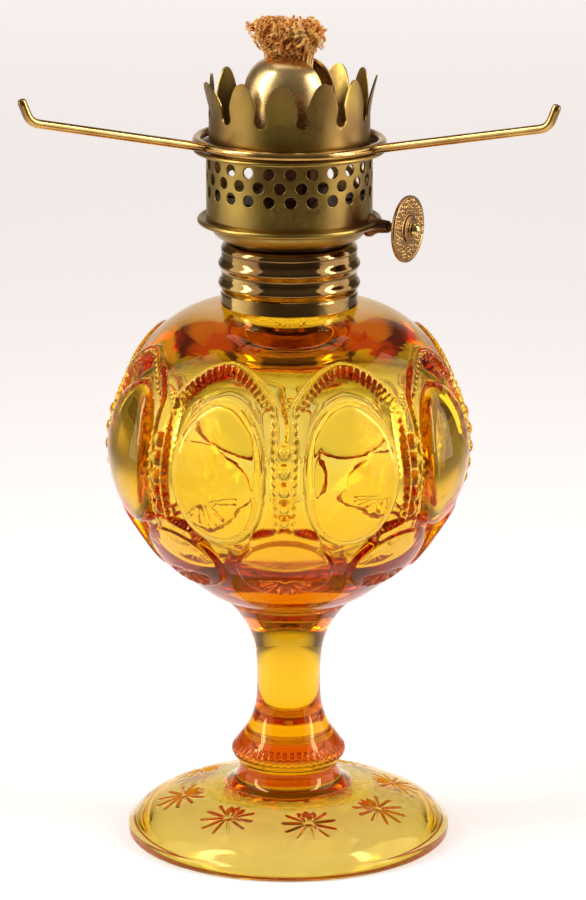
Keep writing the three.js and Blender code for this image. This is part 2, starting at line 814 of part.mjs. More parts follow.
const knob = new THREE.Group();
knob.add(named('winder_shaft', winderShaft(), darkBrass));
knob.add(named('star_wheel_inner', starWheel(-winder.wheelSpacing / 2), brass));
knob.add(named('star_wheel_outer', starWheel(winder.wheelSpacing / 2), brass));
knob.add(named('thumbwheel', thumbwheel(), darkBrass));
knob.add(named('thumbwheel_washer', thumbwheelWasher(), brass));
lamp.add(knob);

const wickGroup = new THREE.Group();
wickGroup.add(named('wick_strip', wickStrip(), cotton));
wickGroup.add(named('wick_tuft', wickTuft(), cotton));
lamp.add(wickGroup);

const shadeHolder = new THREE.Group();
shadeHolder.add(named('holder_ring', holderRing(), darkBrass));
['rear', 'left', 'right'].forEach((side, k) => {
  const azimuth = holder.firstArm + (k * fullTurn) / holder.arms;
  shadeHolder.add(named(`shade_arm_${side}`, shadeArm(azimuth), darkBrass));
});
lamp.add(shadeHolder);

export default lamp;
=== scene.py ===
"""Miniature oil lamp of pressed amber glass and brass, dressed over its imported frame.

Shapes are worked out in millimetres and turned into metres when their meshes are made.
+Z is up along the lamp's axis, -Y faces the viewer and +X is the viewer's right.
"""
import math

import bmesh
import bpy
import numpy as np
from mathutils import Matrix, Vector

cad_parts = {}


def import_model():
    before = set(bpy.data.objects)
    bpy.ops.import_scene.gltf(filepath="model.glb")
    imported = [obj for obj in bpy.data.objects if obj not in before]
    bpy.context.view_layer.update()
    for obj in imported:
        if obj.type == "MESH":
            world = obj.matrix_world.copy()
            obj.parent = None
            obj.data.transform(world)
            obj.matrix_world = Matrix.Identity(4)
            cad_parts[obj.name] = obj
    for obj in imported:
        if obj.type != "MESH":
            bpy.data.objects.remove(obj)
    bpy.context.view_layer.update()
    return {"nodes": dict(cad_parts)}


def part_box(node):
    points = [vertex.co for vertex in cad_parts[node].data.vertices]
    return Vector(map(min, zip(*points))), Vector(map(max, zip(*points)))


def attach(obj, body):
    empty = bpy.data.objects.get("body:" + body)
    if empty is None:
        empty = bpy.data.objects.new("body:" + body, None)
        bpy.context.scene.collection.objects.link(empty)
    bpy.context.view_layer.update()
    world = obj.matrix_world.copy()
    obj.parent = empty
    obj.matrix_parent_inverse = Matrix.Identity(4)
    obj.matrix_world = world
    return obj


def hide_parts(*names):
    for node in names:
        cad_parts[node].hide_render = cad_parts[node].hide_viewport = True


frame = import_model()
scene = bpy.context.scene
chance = np.random.default_rng(7)

MM = 0.001
TURN = 2 * math.pi
FRONT = -math.pi / 2  # azimuth of the side that faces the viewer
TINY = 1e-6


def span(node, axis=2):
    """Lowest and highest place of a CAD node along an axis, in millimetres."""
    low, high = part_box(node)
    return low[axis] / MM, high[axis] / MM


# Heights that the frame gives
neck_top = span("collar_plaster")[1]
collar_foot, collar_top = span("collar")
sleeve_foot = span("thread_cup")[0]
band_foot, band_top = span("basket_band")
crown_tip = span("crown_gallery")[1]
dome_top = span("deflector_dome")[1]
dome_crest = dome_top + 1.2  # the dressed cap stands a little higher than its CAD node
wick_foot, tuft_foot = span("wick_strip")
tuft_top = span("wick_tuft")[1]
wire_low, wire_high = span("holder_ring")
floor_top = band_top + 0.5

# Glass
GLASS_AROUND = 768
BOWL_LENGTH, BOWL_ROWS = 77.4, 250  # length of the bowl's outline, and rows of points along it
STEM_STEP, FOOT_STEP, CAVITY_STEP = 0.45, 0.22, 1.2
foot_height, stem_height, font_height = 10, 36.5, 57.6
font_foot = foot_height + stem_height
font_top = font_foot + font_height
font_radius = 33.75
font_wall, font_floor, font_roof = 3.4, 4.6, 2.9
neck_bore, neck_radius, lip_radius = 8.6, 11, 11.3
foot_radius, foot_edge_radius = 31, 0.8
knob_radius = 10.9
stem_shares = [
    (1.12, 0), (0.985, 0.02), (0.905, 0.055), (0.865, 0.11), (0.985, 0.16), (1, 0.195), (0.9, 0.241),
    (0.72, 0.318), (0.601, 0.411), (0.563, 0.496), (0.56, 0.622), (0.6, 0.748),
    (0.71, 0.852), (0.885, 0.934), (1.064, 1),
]
font_shares = [
    (0.344, 0.009), (0.462, 0.042), (0.616, 0.114), (0.753, 0.198), (0.844, 0.276),
    (0.924, 0.352), (0.975, 0.433), (1, 0.522), (0.993, 0.593), (0.953, 0.69),
    (0.91, 0.75), (0.849, 0.827), (0.773, 0.891), (0.655, 0.95), (0.53, 0.986), (0.388, 1),
]
cavity_shares = [
    (0.2, 0.055), (0.45, 0.085), (0.65, 0.145), (0.78, 0.21), (0.88, 0.3), (0.96, 0.4), (1, 0.507),
    (0.975, 0.647), (0.89, 0.776), (0.79, 0.852), (0.66, 0.9), (0.5, 0.925), (0.32, 0.94),
]
# (radius, height) over the top of the foot, and up into the hollow under it
foot_top = [(12.2, 10), (15, 9.35), (20.5, 8), (25, 6.4), (28, 4.9), (30, 2.95)]
foot_hollow = [(28.6, 0), (27.4, 0.0), (25.8, 2.35), (21.9, 4.3), (15.1, 5.8), (7.7, 6.65), (3, 6.85)]
foot_hollow_top = 6.9

# Milled ring round the knob of the stem
MILL_GROOVES, MILL_DEPTH, MILL_HEIGHT = 48, 0.22, 17.1

# Stars cut in the foot
STAR_COUNT, STAR_RING = 8, 20.5
STAR_TURN = math.radians(11)
STAR_RAYS, STAR_REACH, STAR_DEPTH, RAY_HALF = 12, 5.5, 0.4, 0.3
# The three rays nearest the lamp's axis are cut as one leaf: how much deeper, wider and shorter
LEAF_DEPTH, LEAF_HALF, LEAF_LOSS = 0.2, 0.75, 1.6

# Pattern on the bowl: widths across and places along its outline, in millimetres
SECTORS = 8
PATTERN_TURN = math.radians(-1.4)  # of the first column from the front
OVAL_WIDTH, OVAL_HEIGHT, OVAL_CENTRE = 9.8, 14.8, 40.3
OVAL_TOP, OVAL_CROWN, OVAL_FLAT = 0.85, 0.2, 0.76  # rise of the top and of its middle, and where it ends
VALLEY = 1.2  # depth round the foot of an oval
ARCH_WIDTH, ARCH_HEIGHT, ARCH_CENTRE, ARCH_POWER = 13.4, 16.3, 46.0, 1.6
EDGE_WIDTH, EDGE_RISE = 1.05, 0.75  # of an arch's raised edge
BANK_RISE = 0.45  # where the bank inside that edge starts
TOOTH_PITCH, TOOTH_LENGTH = 1.6, 1.6
COLUMN_LOSS = 0.75  # how much narrower edge and teeth are beside a column of beads
COLUMN_HALF, COLUMN_TAPER = 1.3, 0.3  # half width of a column, and how much of it its foot lacks
BEADS = [(45.8, 1.3), (42.4, 1.25), (38.9, 1.15), (35.7, 1.05), (32.9, 0.95)]  # place and half width
BEAD_RISE, BEAD_REACH = 1.15, 1.5  # height, and half length down the column
MOON_WIDTH, MOON_HEIGHT, MOON_CENTRE = 9.0, 7.9, 20.6
MOON_RISE, MOON_CROWN = 0.95, 0.3
MOON_RAY_PITCH, MOON_RAY_DEPTH = math.radians(24), 0.6
MOON_RAY_FOCUS = 2.2  # how far below the moon's centre its rays meet
TENT_PEAK, TENT_SLOPE, TENT_HALF, TENT_RISE = 31.0, 0.36, 6.8, 0.6

# Camera
LENS, SENSOR = 180, 36
CAMERA_DISTANCE = 855
CAMERA_PITCH = math.radians(14.5)
CAMERA_ROLL = math.radians(0.1)
CAMERA_TARGET = Vector((0.76, 0, 75.83))

# Perforated band
HOLES, HOLE_ROWS, HOLE_RADIUS, ROW_PITCH = 24, 3, 1.12, 2.65
BAND_RADIUS = 15.6
FIRST_HOLE = FRONT + math.radians(0.9)
first_row = band_foot + 5.75

# Crown
PETALS = 12
CROWN_RADIUS, CROWN_FLARE = 15.1, 1.5
PETAL_HALF = (CROWN_RADIUS + CROWN_FLARE / 2) * math.pi / PETALS
FIRST_PETAL = FRONT - math.radians(5.7)
# How far each petal leans out and how much longer it is, from the first one on
PETAL_LEANS = [0.9, 0.6, -0.2, 1.4, 0.2, 1.2, 0.8, -0.8, -0.3, -0.3, 2.0, 0.2]
PETAL_LONGER = [0.2, 0.3, 0.15, -0.2, 0, -0.4, -0.6, -1.2, -0.3, -0.4, -0.7, 0]

# Winder
SHAFT_AZIMUTH = math.radians(-28)
shaft_height = band_foot - 0.6
SHAFT_OFFSET = 3.5
SHAFT_RADIUS, DISC_BORE = 0.8, 0.85
DISC_PLACE, DISC_RADIUS, DISC_THICKNESS = 22.65, 6.3, 0.8
disc_face = DISC_PLACE + DISC_THICKNESS
washer_face = disc_face + 0.9

# Shade holder
HOLDER_TILT = math.radians(0.5)
wire_height = (wire_low + wire_high) / 2
wire_radius = (wire_high - wire_low) / 2
holder_radius = span("holder_ring", 0)[1] - wire_radius

# Glow of the floor near the lamp and far behind it
FLOOR_GLOW, FLOOR_FAR_GLOW = 0.34, 0.75


# Numbers

def smoothstep(value, low, high):
    share = np.clip((value - low) / (high - low), 0, 1)
    return share * share * (3 - 2 * share)


def spline(points, step):
    """Points every step along the smooth curve through the points."""
    points = np.array(points, float)
    last = len(points) - 1
    dense = []
    for i in range(last):
        p0, p1, p2, p3 = (points[min(max(k, 0), last)] for k in (i - 1, i, i + 1, i + 2))
        t = np.linspace(0, 1, 40, endpoint=False)[:, None]
        v0, v1 = (p2 - p0) / 2, (p3 - p1) / 2
        cubic, square = 2 * p1 - 2 * p2 + v0 + v1, -3 * p1 + 3 * p2 - 2 * v0 - v1
        dense.append(cubic * t**3 + square * t**2 + v0 * t + p1)
    dense.append(points[-1:])
    return evenly(np.vstack(dense), step)


def distances(line):
    """How far along a line each of its points lies."""
    return np.concatenate([[0], np.cumsum(np.linalg.norm(np.diff(line, axis=0), axis=1))])


def evenly(points, step):
    """The same open line with points about every step."""
    points = np.array(points, float)
    along = distances(points)
    places = np.linspace(0, along[-1], max(2, int(round(along[-1] / step)) + 1))
    return np.stack([np.interp(places, along, points[:, k]) for k in range(points.shape[1])], axis=1)


def arc(centre_r, centre_z, radius, start, end, steps):
    """Points (radius, height) round a centre, between two angles in degrees."""
    angles = np.radians(np.linspace(start, end, steps + 1))
    return [(centre_r + radius * math.cos(a), centre_z + radius * math.sin(a)) for a in angles]


def shares(count):
    return np.linspace(0, 1, count)[:, None]


def bent(start, knee, end, count):
    """Points on a curve that leaves its start towards the knee and reaches its end from there."""
    t = shares(count)
    return (1 - t) ** 2 * start + 2 * t * (1 - t) * knee + t**2 * end


def softened(outline, size, closed=True):
    """An outline with its corners rounded and held by a point on each side."""
    outline = [np.array(p, float) for p in outline]
    count = len(outline)
    result = []
    for i in range(count):
        if not closed and i in (0, count - 1):
            result.append(outline[i])
            continue
        here, before, after = outline[i], outline[i - 1], outline[(i + 1) % count]
        back, ahead = before - here, after - here
        back_length, ahead_length = np.linalg.norm(back), np.linalg.norm(ahead)
        if min(back_length, ahead_length) < 1e-9:
            continue
        bend = math.acos(np.clip(-(back @ ahead) / (back_length * ahead_length), -1, 1))
        reach = min(size, 0.4 * back_length, 0.4 * ahead_length)
        if bend < math.radians(25) or reach < 0.01:
            result.append(here)
            continue
        back, ahead = back / back_length * reach, ahead / ahead_length * reach
        corner = bent(here + back, here, here + ahead, 5)
        result += [here + back * 1.2, *corner, here + ahead * 1.2]
    return result


# Meshes

def all_round(count):
    return np.arange(count) * TURN / count


def pole(height):
    """A ring of one point, on the axis."""
    return np.array([[0, 0, height]])


def ring(radius, height, count):
    """Points round the axis; radius and height may change round it."""
    turn, heights = all_round(count), np.broadcast_to(height, count)
    return np.stack([radius * np.cos(turn), radius * np.sin(turn), heights], axis=1)


def bridge(a, n, b, m):
    """Faces between a ring of n points from index a and one of m points from index b."""
    if n == m:
        i = np.arange(n)
        j = (i + 1) % n
        return np.stack([a + i, a + j, b + j, b + i], axis=1).tolist()
    if n < m:
        return [face[::-1] for face in bridge(b, m, a, n)]
    if m == 1:
        return [[a + i, a + (i + 1) % n, b] for i in range(n)]
    faces = []
    for i in range(m):
        faces.append([a + 2 * i, a + 2 * i + 1, b + i])
        faces.append([a + 2 * i + 1, a + (2 * i + 2) % n, b + (i + 1) % m, b + i])
    return faces


def loft(rings, closed=False):
    """A skin over rings of points, which may be poles; closed joins the last ring to the first."""
    starts = np.cumsum([0] + [len(r) for r in rings])
    faces = []
    pairs = [(k, k + 1) for k in range(len(rings) - 1)]
    if closed:
        pairs.append((len(rings) - 1, 0))
    for k, other in pairs:
        faces.extend(bridge(int(starts[k]), len(rings[k]), int(starts[other]), len(rings[other])))
    return outward(np.vstack(rings), faces)


def outward(points, faces):
    """The same closed skin, turned outward."""
    fans = np.array([(f[0], f[k], f[k + 1]) for f in faces for k in range(1, len(f) - 1)])
    a, b, c = points[fans[:, 0]], points[fans[:, 1]], points[fans[:, 2]]
    if np.sum(a * np.cross(b, c)) < 0:
        faces = [face[::-1] for face in faces]
    return points, faces


def lathe(outline, count, soften):
    """A closed outline of (radius, height) with rounded corners, turned about Z."""
    return loft([ring(r, z, count) for r, z in softened(outline, soften)], closed=True)


def spindle(outline, count):
    """An open outline that starts and ends on the axis, turned about Z."""
    rings = [ring(r, z, count) for r, z in outline[1:-1]]
    return loft([pole(outline[0][1])] + rings + [pole(outline[-1][1])])


def at_shaft(skin):
    """A skin made about Z, laid outward along the winder's shaft."""
    points, faces = skin
    return in_burner((points[:, [2, 1, 0]] * [1, 1, -1] + [0, SHAFT_OFFSET, shaft_height], faces))


def in_burner(skin):
    """A skin made with the wick's width along X, turned to the wick's direction."""
    return turned(skin, SHAFT_AZIMUTH)


def turned(skin, azimuth):
    points, faces = skin
    c, s = math.cos(azimuth), math.sin(azimuth)
    return points @ np.array([[c, s, 0], [-s, c, 0], [0, 0, 1]]), faces


def tube(path, radius, sides):
    """A round bar along a path, with domed ends. The radius may change along it."""
    path = np.array(path, float)
    radius = np.broadcast_to(radius, len(path))
    along = np.gradient(path, axis=0)
    along /= np.linalg.norm(along, axis=1)[:, None]
    side = np.cross(along[0], [0, 0, 1] if abs(along[0][2]) < 0.9 else [1, 0, 0])
    rings = [path[:1] - along[:1] * radius[0] * 0.3]
    turn = all_round(sides)
    for k, here in enumerate(path):
        side = side - along[k] * (side @ along[k])
        side /= np.linalg.norm(side)
        other = np.cross(along[k], side)
        circle = np.cos(turn)[:, None] * side + np.sin(turn)[:, None] * other
        size = radius[k] * (0.8 if k in (0, len(path) - 1) else 1)
        rings.append(here + size * circle)
    rings.append(path[-1:] + along[-1:] * radius[-1] * 0.3)
    return loft(rings)


def joined(skins):
    points, faces, start = [], [], 0
    for skin_points, skin_faces in skins:
        points.append(skin_points)
        faces.extend([[i + start for i in face] for face in skin_faces])
        start += len(skin_points)
    return np.vstack(points), faces


def new_object(name, skin):
    """An object in the scene, from points in millimetres."""
    points, faces = skin
    mesh = bpy.data.meshes.new(name)
    mesh.from_pydata((np.asarray(points) * MM).tolist(), [], faces)
    obj = bpy.data.objects.new(name, mesh)
    scene.collection.objects.link(obj)
    return obj


def piece(name, skin, material, body, node=None, sharp=40):
    """A piece of the lamp, which may replace a CAD node."""
    obj = new_object(name, skin)
    obj.data.shade_smooth()
    if sharp:
        obj.data.set_sharp_from_angle(angle=math.radians(sharp))
    obj.data.materials.append(material)
    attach(obj, body)
    if node:
        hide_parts(node)
    return obj


# Materials

def new_material(name):
    """A material and its shader; the helpers below add nodes beside one that they are given."""
    material = bpy.data.materials.new(name)
    material.use_nodes = True
    return material, material.node_tree.nodes["Principled BSDF"]


def new_node(beside, kind):
    return beside.id_data.nodes.new(kind)


def link(source, target):
    target.id_data.links.new(source, target)


def preset(node, values):
    for name, value in values.items():
        node.inputs[name].default_value = value


def coordinates(beside, space):
    return new_node(beside, "ShaderNodeTexCoord").outputs[space]


def axes(beside, space):
    """The X, Y and Z of a point in a space."""
    split = new_node(beside, "ShaderNodeSeparateXYZ")
    link(coordinates(beside, space), split.inputs["Vector"])
    return split.outputs


def noise(shader, scale, detail):
    """Noise in object space; scale is in bumps a metre."""
    texture = new_node(shader, "ShaderNodeTexNoise")
    preset(texture, {"Scale": scale, "Detail": detail})
    link(coordinates(shader, "Object"), texture.inputs["Vector"])
    return texture.outputs["Fac"]


def ramp(factor, stops):
    """A colour ramp; stops are (place, colour)."""
    node = new_node(factor, "ShaderNodeValToRGB")
    elements = node.color_ramp.elements
    while len(elements) < len(stops):
        elements.new(0.5)
    for element, (place, colour) in zip(elements, stops):
        element.position = place
        element.color = (*colour, 1)
    link(factor, node.inputs["Fac"])
    return node.outputs["Color"]


def spread(colours):
    """Stops that give each colour its share of a noise."""
    return [(0.3 + 0.4 * i / (len(colours) - 1), colour) for i, colour in enumerate(colours)]


def ranged(value, low, high, source=(0.3, 0.7)):
    """The value, its source range turned into low to high."""
    node = new_node(value, "ShaderNodeMapRange")
    preset(node, {"From Min": source[0], "From Max": source[1], "To Min": low, "To Max": high})
    link(value, node.inputs["Value"])
    return node.outputs["Result"]


def arithmetic(operation, *values):
    node = new_node(values[0], "ShaderNodeMath")
    node.operation = operation
    for value, target in zip(values, node.inputs):
        link(value, target)
    return node.outputs[0]


def bumped(shader, height, strength, distance):
    node = new_node(shader, "ShaderNodeBump")
    preset(node, {"Strength": strength, "Distance": distance})
    link(height, node.inputs["Height"])
    link(node.outputs["Normal"], shader.inputs["Normal"])


def tarnished(name, colours, roughness, patch=75, grain=1800, bump=0.03):
    """Brass with patches of tarnish, fine grain and uneven gloss."""
    material, shader = new_material(name)
    preset(shader, {"Metallic": 1})
    link(ramp(noise(shader, patch, 3), spread(colours)), shader.inputs["Base Color"])
    fine = noise(shader, grain, 3)
    link(ranged(fine, *roughness), shader.inputs["Roughness"])
    bumped(shader, fine, bump, 0.00006)
    return material


def amber_glass():
    """Clear glass that takes its colour from its thickness, with slightly wavy faces."""
    material, shader = new_material("amber_glass")
    preset(shader, {"Base Color": (1, 1, 1, 1), "Specular Tint": (0.95, 0.65, 0.25, 1)})
    preset(shader, {"Transmission Weight": 1, "IOR": 1.5})
    waves = noise(shader, 260, 2)
    link(ranged(waves, 0.0, 0.03), shader.inputs["Roughness"])
    bumped(shader, waves, 0.12, 0.0002)
    absorption = new_node(shader, "ShaderNodeVolumeAbsorption")
    preset(absorption, {"Color": (0.971, 0.845, 0, 1), "Density": 360})
    link(absorption.outputs["Volume"], material.node_tree.nodes["Material Output"].inputs["Volume"])
    return material


def cotton(name, colours, scale):
    """Matt fibre with uneven colour."""
    material, shader = new_material(name)
    preset(shader, {"Roughness": 0.85})
    link(ramp(noise(shader, scale, 4), spread(colours)), shader.inputs["Base Color"])
    bumped(shader, noise(shader, 9000, 2), 0.4, 0.0001)
    return material


def plaster_material():
    material, shader = new_material("plaster")
    preset(shader, {"Roughness": 0.95})
    grains = noise(shader, 1200, 5)
    link(ramp(grains, spread([(0.62, 0.56, 0.46), (0.8, 0.76, 0.68)])), shader.inputs["Base Color"])
    bumped(shader, grains, 0.5, 0.0002)
    return material


BURNER_COLOURS = [(0.22, 0.115, 0.04), (0.33, 0.21, 0.05), (0.43, 0.29, 0.06)]
COLLAR_COLOURS = [(0.17, 0.085, 0.04), (0.34, 0.2, 0.06), (0.58, 0.39, 0.12)]
# The dome's brass is much lighter than the rest of the burner's: painted light on the cap
DOME_LIT_COLOURS = [(0.72, 0.47, 0.19), (0.92, 0.68, 0.3)]
FRAYED_COLOURS = [(0.62, 0.2, 0.03), (0.92, 0.45, 0.1), (0.96, 0.7, 0.28)]

glass = amber_glass()
brass = tarnished("burner_brass", BURNER_COLOURS, (0.28, 0.4))
collar_brass = tarnished("collar_brass", COLLAR_COLOURS, (0.06, 0.15))
# Lighter brass for the dome: painted light
lit_dome_brass = tarnished("lit_dome_brass", DOME_LIT_COLOURS, (0.24, 0.3), grain=500, bump=0.0)
dark_brass = tarnished("shaft_bronze", [(0.1, 0.05, 0.03), (0.3, 0.15, 0.06)], (0.3, 0.5))
head_brass = tarnished("head_brass", [(0.6, 0.42, 0.13), (0.8, 0.58, 0.22)], (0.1, 0.2))
disc_brass = tarnished("disc_bronze", [(0.3, 0.16, 0.06), (0.48, 0.29, 0.1)], (0.22, 0.4))
wire_brass = tarnished("wire_brass", [(0.4, 0.2, 0.06), (0.66, 0.42, 0.13)], (0.12, 0.24), patch=160)
# Near-black brass for the parts inside the burner: painted shade
painted_shade_brass = tarnished("painted_shade_brass", [(0.05, 0.018, 0.01), (0.15, 0.06, 0.025)], (0.35, 0.55))
strand_cotton = cotton("frayed_cotton", FRAYED_COLOURS, 420)
woven_cotton = cotton("woven_cotton", [(0.5, 0.38, 0.2), (0.74, 0.62, 0.42)], 900)
plaster = plaster_material()


# Glass

def ray_fan(across, out, pitch):
    """For points in a fan of rays: how far out, at what angle, on which ray, and how far off it."""
    reach, angle = np.hypot(across, out), np.arctan2(across, -out)
    index = np.round(angle / pitch)
    return reach, angle, index, np.abs(angle - pitch * index) * reach


def inside_arch(across, rise):
    """How far points lie inside the outline of an arch: a superellipse on two straight legs."""
    x, y = np.abs(across) / ARCH_WIDTH, np.abs(rise) / ARCH_HEIGHT
    arch = (x**ARCH_POWER + y**ARCH_POWER) ** (1 / ARCH_POWER)
    slope = np.hypot(x ** (ARCH_POWER - 1) / ARCH_WIDTH, y ** (ARCH_POWER - 1) / ARCH_HEIGHT)
    slope /= np.maximum(arch, TINY) ** (ARCH_POWER - 1)
    return np.where(rise > 0, (1 - arch) / np.maximum(slope, TINY), ARCH_WIDTH - np.abs(across))


def arch_relief(across_column, across_oval, place, oval):
    """A raised edge, notched into teeth on its inner side, over a bank that falls to the oval's foot."""
    climb, rise = place - OVAL_CENTRE, place - ARCH_CENTRE
    slope = np.hypot(across_oval / OVAL_WIDTH**2, climb / OVAL_HEIGHT**2) / np.maximum(oval, TINY)
    from_oval = np.maximum(oval - 1, 0) / np.maximum(slope, TINY)
    from_arch = inside_arch(across_oval, rise)
    column_half = COLUMN_HALF - COLUMN_TAPER * smoothstep(-place, -46, -32)
    from_column = np.abs(across_column) - column_half
    inside = np.minimum(from_arch, from_column)
    by_column = smoothstep(from_arch - from_column, -0.8, 0.8)

    bend = np.arctan2(rise / ARCH_HEIGHT, across_oval / ARCH_WIDTH)
    along = np.where(by_column > 0.5, place, bend * (ARCH_WIDTH + ARCH_HEIGHT) / 2)
    tooth = smoothstep(np.cos(TURN * along / TOOTH_PITCH), -0.3, 0.3) * smoothstep(place, 24, 31)
    edge_width = EDGE_WIDTH - COLUMN_LOSS * by_column
    tooth_length = TOOTH_LENGTH - COLUMN_LOSS * by_column
    past_edge = np.maximum(inside - edge_width, 0)
    share = past_edge / np.maximum(past_edge + from_oval, TINY)
    bank = BANK_RISE - (BANK_RISE + VALLEY) * smoothstep(share, -0.25, 1.0) ** 0.8
    crest = EDGE_RISE * smoothstep(inside, -0.05, 0.35)
    into_bank = smoothstep(inside, edge_width, edge_width + 0.35)
    height = crest * (1 - into_bank) + bank * into_bank
    tooth_end = smoothstep(edge_width + tooth_length - inside, 0, 0.45) * smoothstep(inside, 0.0, 0.3)
    height = np.maximum(height, tooth * tooth_end * EDGE_RISE + (1 - tooth * tooth_end) * -VALLEY)
    return height * smoothstep(place, 20, 27)


def oval_relief(oval):
    """A nearly flat top with wide rounded sides."""
    side = np.clip((oval - OVAL_FLAT) / (1 - OVAL_FLAT), 0, 1)
    top = OVAL_TOP + OVAL_CROWN * np.clip(1 - (oval / OVAL_FLAT) ** 2, 0, 1)
    return (top + VALLEY) * np.sqrt(1 - side**2.2) - VALLEY


def moon_relief(across, rise, moon):
    """A low cushion with a fan of cut rays."""
    reach, angle, _, off_ray = ray_fan(across, rise + MOON_RAY_FOCUS, MOON_RAY_PITCH)
    groove = np.clip(1 - off_ray / (0.25 + 0.13 * reach), 0, 1) * smoothstep(reach, 0.4, 1.6)
    groove *= smoothstep(-reach, -5.4, -4.6) * smoothstep(-np.abs(angle), -1.5, -1.3)
    return MOON_RISE + MOON_CROWN * np.clip(1 - moon**2, 0, 1) - MOON_RAY_DEPTH * groove


def bowl_relief(place, radius):
    """How far the pattern stands out, for every row of points and every point round the bowl."""
    sector = TURN / SECTORS
    place, radius = place[:, None], radius[:, None]
    turn = (all_round(GLASS_AROUND) - FRONT - PATTERN_TURN) / sector
    across_column = (turn - np.round(turn)) * sector * radius
    across_oval = (turn - 0.5 - np.round(turn - 0.5)) * sector * radius
    oval = np.hypot(across_oval / OVAL_WIDTH, (place - OVAL_CENTRE) / OVAL_HEIGHT)
    height = arch_relief(across_column, across_oval, place, oval)

    # Beads down the column between two ovals
    for centre, half in BEADS:
        bead = 1 - (across_column / half) ** 2 - ((place - centre) / BEAD_REACH) ** 2
        height = np.where(bead < 0, height, np.maximum(height, BEAD_RISE * np.sqrt(np.maximum(bead, 0))))
    height = np.where(oval < 1, oval_relief(oval), height)

    # A tent over each moon, outside the ovals
    off_middle = np.abs(across_column)
    tent = smoothstep(TENT_PEAK - TENT_SLOPE * off_middle - place, -0.25, 0.25)
    tent *= smoothstep(TENT_HALF - off_middle, 0, 1.2) * smoothstep(place, MOON_CENTRE, MOON_CENTRE + 3)
    on_tent = (tent >= 0.02) & (oval >= 1)
    height = np.where(on_tent, np.maximum(height, TENT_RISE * tent), height)

    rise = place - MOON_CENTRE
    moon = np.hypot(across_column / MOON_WIDTH, rise / MOON_HEIGHT)
    on_moon = smoothstep(-moon, -1.02, -0.93)
    return height * (1 - on_moon) + moon_relief(across_column, rise, moon) * on_moon


def foot_relief(radius):
    """Stars cut round the foot, in the same way."""
    pitch = TURN / STAR_COUNT
    turn = (all_round(GLASS_AROUND) - FRONT - STAR_TURN) / pitch
    across = (turn - np.round(turn)) * pitch * STAR_RING
    reach, _, index, off_ray = ray_fan(across, radius[:, None] - STAR_RING, TURN / STAR_RAYS)
    leaf = (np.abs(index) <= 1).astype(float)
    width = RAY_HALF + LEAF_HALF * leaf * smoothstep(reach, 0.3, 2.2) * smoothstep(-reach, -3.9, -2.2)
    length = STAR_REACH - LEAF_LOSS * leaf
    depth = np.clip(1 - off_ray / width, 0, 1) * smoothstep(reach, 0.3, 1.1)
    depth *= smoothstep(length - reach, 0, 0.8)
    return -(STAR_DEPTH + LEAF_DEPTH * leaf) * depth


def offset_rings(line, heights, count):
    """Rings round a line of (radius, height), each point moved out along the line's normal."""
    along = np.gradient(line, axis=0)
    along /= np.linalg.norm(along, axis=1)[:, None]
    rows = zip(line, along, heights)
    return [ring(r + dz * height, z - dr * height, count) for (r, z), (dr, dz), height in rows]


def scaled(outline_shares, radius, foot, height):
    return [(r * radius, foot + z * height) for r, z in outline_shares]


def wavy_ring(radius, height, count):
    """A ring on the inside of the font, which is a little uneven."""
    turn = all_round(count)
    wave = 0.5 * np.sin(3 * turn + height / 7) + 0.35 * np.sin(5 * turn - height / 4.5 + 1)
    wave += 0.25 * np.sin(8 * turn + height / 3 + 2) + 0.3 * np.sin(height / 3.4 + 2 * turn)
    return ring(radius + 0.26 * wave * smoothstep(radius, 9, 15), height, count)


def cavity_rings(count):
    """The inside of the font, from its floor up through the neck to the mouth."""
    base = font_foot + font_floor
    height = font_height - font_floor - font_roof
    cavity = spline(scaled(cavity_shares, font_radius - font_wall, base, height), CAVITY_STEP)
    neck_foot = base + 0.955 * height
    mouth = [(neck_bore, neck_foot), (neck_bore, neck_top), (neck_radius, neck_top), (neck_radius, font_top)]
    rings = [pole(base + 0.05 * height)]
    rings += [wavy_ring(r, z, count) for r, z in cavity]
    return rings + [ring(r, z, count) for r, z in softened(mouth, 0.5, False)]


def bowl_rings():
    """The outside of the font with its pressed pattern, from the foot of the bowl up."""
    bowl = spline(scaled(font_shares, font_radius, font_foot, font_height), BOWL_LENGTH / BOWL_ROWS)
    return offset_rings(bowl, bowl_relief(distances(bowl), bowl[:, 0]), GLASS_AROUND)


def stem_rings(count):
    """The stem with its milled knob, from the foot up."""
    stem = spline(scaled(stem_shares, knob_radius, foot_height, stem_height), STEM_STEP)
    turn = all_round(count)
    mill = np.abs(np.sin(turn * MILL_GROOVES / 2)) ** 0.7 * MILL_DEPTH - MILL_DEPTH
    on_knob = 1 - smoothstep(np.abs(stem[:, 1] - MILL_HEIGHT), 0.7, 1.1)
    return offset_rings(stem, on_knob[:, None] * mill[None, :], count)


def foot_rings(edge_count, hollow_count):
    """The starred top of the foot, its edge and the hollow under it, from the stem out and back in."""
    top = spline(foot_top, FOOT_STEP)
    rings = offset_rings(top[::-1], foot_relief(top[:, 0])[::-1], GLASS_AROUND)[::-1]
    edge_middle = foot_radius - foot_edge_radius
    edge = [(30.25, 2.6)] + arc(edge_middle, 1.7, foot_edge_radius, 50, 0, 4)
    edge += arc(edge_middle, foot_edge_radius, foot_edge_radius, 0, -90, 6)
    rings += [ring(r, z, edge_count) for r, z in edge]
    rings += [ring(r, z, hollow_count) for r, z in softened(foot_hollow, 1.2, False)]
    return rings + [pole(foot_hollow_top)]


def glass_base():
    half, quarter = GLASS_AROUND // 2, GLASS_AROUND // 4
    rings = cavity_rings(quarter) + [ring(lip_radius, font_top, half)]
    rings += bowl_rings()[::-1] + stem_rings(half)[::-1] + foot_rings(half, quarter)
    piece("font_and_foot", loft(rings), glass, "base", "glass_base", sharp=0)


# Brass

def ridge(height, centre):
    """How far one of the collar's rolled ridges stands out at a height."""
    half, rise = 1.5, 0.55
    return rise * math.cos(math.pi * min(abs(height - centre) / half, 1) / 2) ** 2


